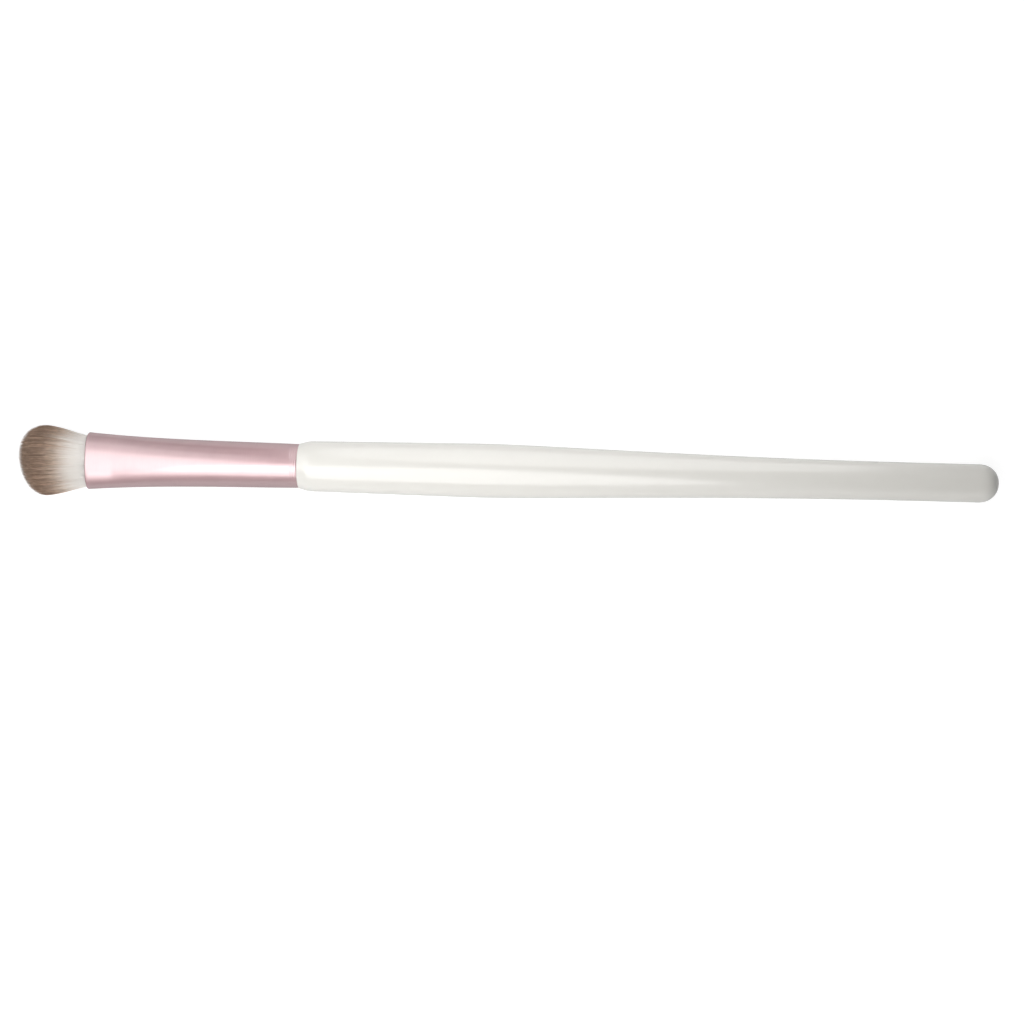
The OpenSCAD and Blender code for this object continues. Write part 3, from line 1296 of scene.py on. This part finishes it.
    def paths(self, rng: np.random.Generator) -> tuple[np.ndarray, ...]:
        """Way of each filament through the head.

        A filament is drawn to its lock's middle and leans with the square of its share of the
        way, and is pressed under the dome. The lean is less by a power of the reach of its start.

        Args:
            rng: Source of the random draws.

        Returns:
            Start and lock of each filament, and distance in front of the mouth, y and z by
            filament and by station.
        """
        seeds, middles, lock = self.starts(rng)
        long = self.reaches(rng, seeds, lock)[:, None]
        s = -self.buried + np.array([*self.stations, 1.0]) * (long + self.buried)
        bend = np.clip(s / long, 0, 1) ** 2
        drawn = seeds[:, None] + (middles - seeds)[:, None] * (self.gather * bend)[..., None]
        tight = rng.uniform(self.tight, 1, (self.count, 1))
        y, z = self.spread(self.draped(drawn, s, tight), s)
        lean = rng.uniform(-1, 1, (self.locks, 2))[lock] * self.sway[0]
        lean = lean + rng.uniform(-1, 1, (self.count, 2)) * self.sway[1]
        calm, power = self.calm
        free = 1 - np.linalg.norm(seeds, axis=-1)[:, None] ** power * calm
        y = y + lean[:, None, 0] * free * bend
        z = z + lean[:, None, 1] * free * bend
        return seeds, lock, s, y, z

    def corners(
        self, rng: np.random.Generator, s: np.ndarray, y: np.ndarray, z: np.ndarray
    ) -> np.ndarray:
        """Corners of filaments: a turned triangle at each station, and a point at the tip.

        The radius is full up to the taper and then falls as 1 less a power of the rest.

        Args:
            rng: Source of the random draws.
            s: Distance in front of the mouth, by filament and by station.
            y: Place across, likewise.
            z: Height, likewise.

        Returns:
            Points by filament, by corner and by axis.
        """
        start, span, power = self.taper
        full = 1 - np.clip((np.array(self.stations) - start) / span, 0, 1) ** power
        turn = rng.uniform(0, 2 * math.pi, self.count)[:, None]
        turn = turn + np.arange(SIDES) * 2 * math.pi / SIDES
        reach = self.diameter / 2 * full[:, None]
        corner_y = y[:, :-1, None] + reach * np.cos(turn)[:, None]
        corner_z = z[:, :-1, None] + reach * np.sin(turn)[:, None]
        x = self.layout.mouth_x - s
        corner_x = np.broadcast_to(x[:, :-1, None], corner_y.shape)
        rings = columns(corner_x, corner_y, corner_z).reshape(self.count, -1, 3)
        tips = columns(x[:, -1:], y[:, -1:], z[:, -1:])
        return np.concatenate([rings, tips], axis=1)

    def charts(
        self, rng: np.random.Generator, seeds: np.ndarray, lock: np.ndarray, s: np.ndarray
    ) -> np.ndarray:
        """Chart of filaments: u picks the shade of lock, clump and strand, v is the depth.

        Args:
            rng: Source of the random draws.
            seeds: Start of each filament.
            lock: Number of its lock.
            s: Distance in front of the mouth, by filament and by station.

        Returns:
            U and v by filament and by corner.
        """
        cell = (seeds + 1) * (self.width / 2, self.thickness / 2) / self.clump_size
        across, through = np.floor(cell).astype(int).T
        grid = (self.clump_grid, self.clump_grid)
        clump = rng.uniform(-self.clump_strip, self.clump_strip, grid)[across, through]
        strip = rng.uniform(*self.lock_strips, self.locks)[lock] + clump
        strip = strip + rng.uniform(-self.strand_strip, self.strand_strip, self.count)
        depth = self.below_tips(seeds[:, None], s)
        v = np.repeat(depth[:, :-1, None], SIDES, axis=-1)
        u = strip[:, None, None] + np.broadcast_to(np.arange(SIDES) * self.side_strip, v.shape)
        chart = columns(u, v).reshape(self.count, -1, 2)
        tips = columns(strip[:, None] + self.side_strip, depth[:, -1:])
        return np.concatenate([chart, tips], axis=1)

    def skin(self, points: np.ndarray, chart: np.ndarray) -> Surface:
        """Faces of filaments: quads between rings, triangles at the tip, and one at the root.

        Args:
            points: Points by filament, by corner and by axis.
            chart: U and v by filament and by corner.

        Returns:
            All the filaments as one surface of closed skins.
        """
        count, each = points.shape[:2]
        base = np.arange(count)[:, None, None] * each
        here = np.arange(SIDES)
        ahead = (here + 1) % SIDES
        tip = each - 1
        top = tip - SIDES
        low = np.arange(0, top, SIDES)[:, None]
        sides = columns(low + here, low + SIDES + here, low + SIDES + ahead, low + ahead)
        tips = columns(top + here, np.full(SIDES, tip), top + ahead)
        ends = np.concatenate([tips, here[None]])
        return Surface(
            points.reshape(-1, 3),
            (sides.reshape(1, -1, 4) + base).reshape(-1, 4),
            (ends[None] + base).reshape(-1, 3),
            chart.reshape(-1, 2),
        )

    def roots(self) -> Surface:
        """Packed roots: the bore's own sections less the fit, with the groove for the thread.

        Returns:
            The closed skin.
        """
        at, long, deep = self.groove
        sloped = [at - deep, at, at + long, at + long + deep]
        u = np.array([self.root_recess, *np.linspace(*self.root_rings), *sloped, self.root_length])
        depth = np.where((u >= at) & (u <= at + long), deep, self.fit)
        rings = self.ferrule.rings(u, self.ferrule.wall + depth, self.root_around)
        return Surface.through_rings(rings, Ends.POLES)

    def build(self) -> list[bpy.types.Object]:
        """Makes the roots, the heart and the layers of filaments, which stand for the hair.

        Returns:
            The pieces, from the inside out.
        """
        roots = self.roots().piece("packed_roots")
        made = [finish_piece(roots, self.root_finish.material(), "hair")]
        rng = np.random.default_rng(self.seed)
        seeds, lock, s, y, z = self.paths(rng)
        points = self.corners(rng, s, y, z)
        chart = self.charts(rng, seeds, lock, s)
        dye = self.finish.material()
        made.append(finish_piece(self.heart().piece("bundle_heart"), dye, "hair"))
        cuts = np.linspace(0, self.count, len(self.layers) + 1).astype(int)
        for name, a, b in zip(self.layers, cuts, cuts[1:]):
            layer = self.skin(points[a:b], chart[a:b]).piece(name)
            made.append(finish_piece(layer, dye, "hair"))
        return made


@dataclass(frozen=True)
class InnerParts:
    """Pieces inside the ferrule that keep their CAD shape."""

    thread: WaxedThread = WaxedThread()
    hard_glue: SetGlue = SetGlue(
        "hard_glue", light=(0.66, 0.47, 0.19), dark=(0.50, 0.32, 0.10), rough=0.16
    )
    wood_glue: SetGlue = SetGlue(
        "wood_glue", light=(0.74, 0.66, 0.47), dark=(0.62, 0.53, 0.35), rough=0.45
    )

    def dress(self) -> list[bpy.types.Object]:
        """Gives each CAD node its material.

        Returns:
            The nodes.
        """
        made = []
        finishes: dict[str, WaxedThread | SetGlue] = {
            "binding_thread": self.thread,
            "glue_plug": self.hard_glue,
            "handle_adhesive": self.wood_glue,
        }
        for name, finish in finishes.items():
            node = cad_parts[name]
            worn = finish.material()
            if not node.material_slots:
                node.data.materials.append(worn)
            for place in node.material_slots:
                place.material = worn
            log.info("%s: CAD node with material %s", name, worn.name)
            made.append(node)
        return made


# Studio


@dataclass(frozen=True)
class Softbox:
    """Oval softbox, over the brush or beside it.

    Attributes:
        centre: Its middle.
        size: Its length along X, and along Y or upwards.
        radiance: Brightness of its face, where 1 is white.
        facing: Way that it shines.
    """

    centre: Triple
    size: Pair
    radiance: float
    facing: Facing = Facing.DOWN

    def build(self) -> bpy.types.Object:
        """Makes the lamp. Its power is radiance times pi times its area.

        Returns:
            The lamp.
        """
        lamp = bpy.data.lights.new("softbox", "AREA")
        lamp.shape = "ELLIPSE"
        lamp.size, lamp.size_y = self.size
        lamp.energy = self.radiance * math.pi * math.pi / 4 * self.size[0] * self.size[1]
        made = placed("softbox", lamp)
        made.location = self.centre
        made.rotation_euler = (self.facing.value, 0, 0)
        made.visible_camera = False
        return made


@dataclass(frozen=True)
class Tent:
    """White tent with a dim opening overhead, as a world.

    Attributes:
        level: Brightness of its walls, where 1 is white.
        lean: Change of the brightness towards each axis.
        opening: Direction of the opening.
        dimmer: How much darker the middle of the opening is.
        narrow: How fast the opening ends around its middle.
    """

    level: float = 0.5785
    lean: Triple = (0.1703, -0.2904, 0.0)
    opening: Triple = (0.138, -0.180, 0.974)
    dimmer: float = 1.486
    narrow: float = 1.903

    def build(self) -> None:
        """Makes the world, which the camera sees as white.

        Brightness is level, plus lean times the direction, less dimmer times e to narrow times
        the cosine from the opening less 1, and never below 0.
        """
        world = bpy.data.worlds.new("tent")
        world.use_nodes = True
        bpy.context.scene.world = world
        n = Nodes(world.node_tree)
        way = n.add("ShaderNodeTexCoord").outputs["Generated"]
        near = n.math("MULTIPLY", n.math("SUBTRACT", n.dot(way, self.opening), 1.0), self.narrow)
        hole = n.math("MULTIPLY", n.math("POWER", math.e, near), self.dimmer)
        wall = n.math("ADD", n.dot(way, self.lean), self.level)
        light = n.math("MAXIMUM", n.math("SUBTRACT", wall, hole), 0.0)
        seen = n.add("ShaderNodeLightPath").outputs["Is Camera Ray"]
        background = n.add("ShaderNodeBackground")
        n.join(n.math("MAXIMUM", light, seen), background.inputs["Strength"])
        output = n.add("ShaderNodeOutputWorld")
        n.join(background.outputs[0], output.inputs["Surface"])


@dataclass(frozen=True)
class Studio:
    """Pale table in a tent, with softboxes and the camera straight above.

    Attributes:
        softboxes: Three over the brush, and three beside it.
        floor_size: Width of the table.
        floor_middle: Width of the table's middle square.
        floor_glow: Brightness of the table's own glow to the camera, where 1 is white.
        floor_reflected: Brightness of that glow in reflections and glass.
        glow_share: Share of the glow in what is seen, next to the lit table.
        near_clip: Distance at which the camera starts to see.
        camera_turn: Turn of the camera about Z, in degrees.
    """

    softboxes: tuple[Softbox, ...] = (
        Softbox((-0.02592, -0.1327, 0.1546), (0.1982, 0.2865), 2.43),
        Softbox((-0.2244, 0.09124, 0.2014), (0.2908, 0.3646), 1.089),
        Softbox((-0.1138, -0.028, 0.1536), (0.1153, 0.1662), 1.27),
        Softbox((0.0231, 0.1228, 0.07623), (0.1522, 0.4073), 1.53, Facing.TO_MINUS_Y),
        Softbox((-0.1826, 0.1726, 0.07616), (0.2022, 0.1561), 0.58, Facing.TO_MINUS_Y),
        Softbox((0.13, -0.17, 0.07), (0.2, 0.14), 0.32, Facing.TO_PLUS_Y),
    )
    tent: Tent = Tent()
    floor_size: float = 4.0
    floor_middle: float = 1.0
    floor_colour: Colour = (0.92, 0.92, 0.92)
    floor_glow: float = 1.3
    floor_reflected: float = 0.53
    glow_share: float = 0.65
    focal_mm: float = 50
    sensor_mm: float = 36
    near_clip: float = 0.01
    camera_at: Triple = (0.00082, -0.007043, 0.25174)
    camera_turn: float = 1.467

    def floor(self) -> bpy.types.Object:
        """Flat table at z = 0: a grid of x and y, with one more ring out to its edge.

        Returns:
            The table.
        """
        half, middle = self.floor_size / 2, self.floor_middle / 2
        line = np.array([-half, -middle, middle, half])
        side = len(line)
        x, y = np.meshgrid(line, line, indexing="ij")
        points = columns(x, y, np.zeros_like(x)).reshape(-1, 3)
        i, j = np.meshgrid(np.arange(side - 1), np.arange(side - 1), indexing="ij")
        first = (i * side + j).ravel()
        quads = columns(first, first + side, first + side + 1, first + 1)
        table = Surface(points, quads, np.zeros((0, 3), int)).piece("table")
        table.data.materials.append(self.floor_material())
        return table

    def floor_material(self) -> bpy.types.Material:
        """Matt table that keeps shadows and glows for the camera, reflections and glass.

        Returns:
            The material.
        """
        r = Recipe("pale_table")
        r.tree.nodes.remove(r.shader)
        paths = r.add("ShaderNodeLightPath").outputs
        camera = paths["Is Camera Ray"]
        seen = r.math("MAXIMUM", camera, paths["Is Glossy Ray"])
        seen = r.math("MAXIMUM", seen, paths["Is Transmission Ray"])
        extra = r.math("MULTIPLY", camera, self.floor_glow - self.floor_reflected)
        matt = r.add("ShaderNodeBsdfDiffuse")
        matt.inputs["Color"].default_value = (*self.floor_colour, 1)
        glow = r.add("ShaderNodeEmission")
        r.join(r.math("ADD", extra, self.floor_reflected), glow.inputs["Strength"])
        both = r.add("ShaderNodeMixShader")
        r.join(r.math("MULTIPLY", seen, self.glow_share), both.inputs[0])
        r.join(matt.outputs[0], both.inputs[1])
        r.join(glow.outputs[0], both.inputs[2])
        r.join(both.outputs[0], r.output.inputs["Surface"])
        return r.material

    def camera(self) -> bpy.types.Object:
        """Camera straight above the brush, turned as the photograph is.

        Returns:
            The camera.
        """
        lens = bpy.data.cameras.new("camera")
        lens.lens = self.focal_mm
        lens.sensor_width = self.sensor_mm
        lens.clip_start = self.near_clip
        made = placed("camera", lens)
        made.location = self.camera_at
        made.rotation_euler = (0, 0, math.radians(self.camera_turn))
        bpy.context.scene.camera = made
        return made

    def build(self) -> None:
        """Sets the table, the tent, the softboxes, the camera and the plain view transform."""
        self.floor()
        self.tent.build()
        for softbox in self.softboxes:
            softbox.build()
        self.camera()
        bpy.context.scene.view_settings.view_transform = "Standard"


def main() -> None:
    """Builds the sub-assemblies in order and reports each piece."""
    logging.basicConfig(level=logging.INFO, format="%(name)s: %(message)s")
    layout = Layout()
    ferrule = Ferrule(layout)
    made = [*Handle(layout).build(), *ferrule.build(), *Head(layout, ferrule).build()]
    made += InnerParts().dress()
    Studio().build()
    log.info("%d pieces", len(made))


if __name__ == "__main__":
    main()
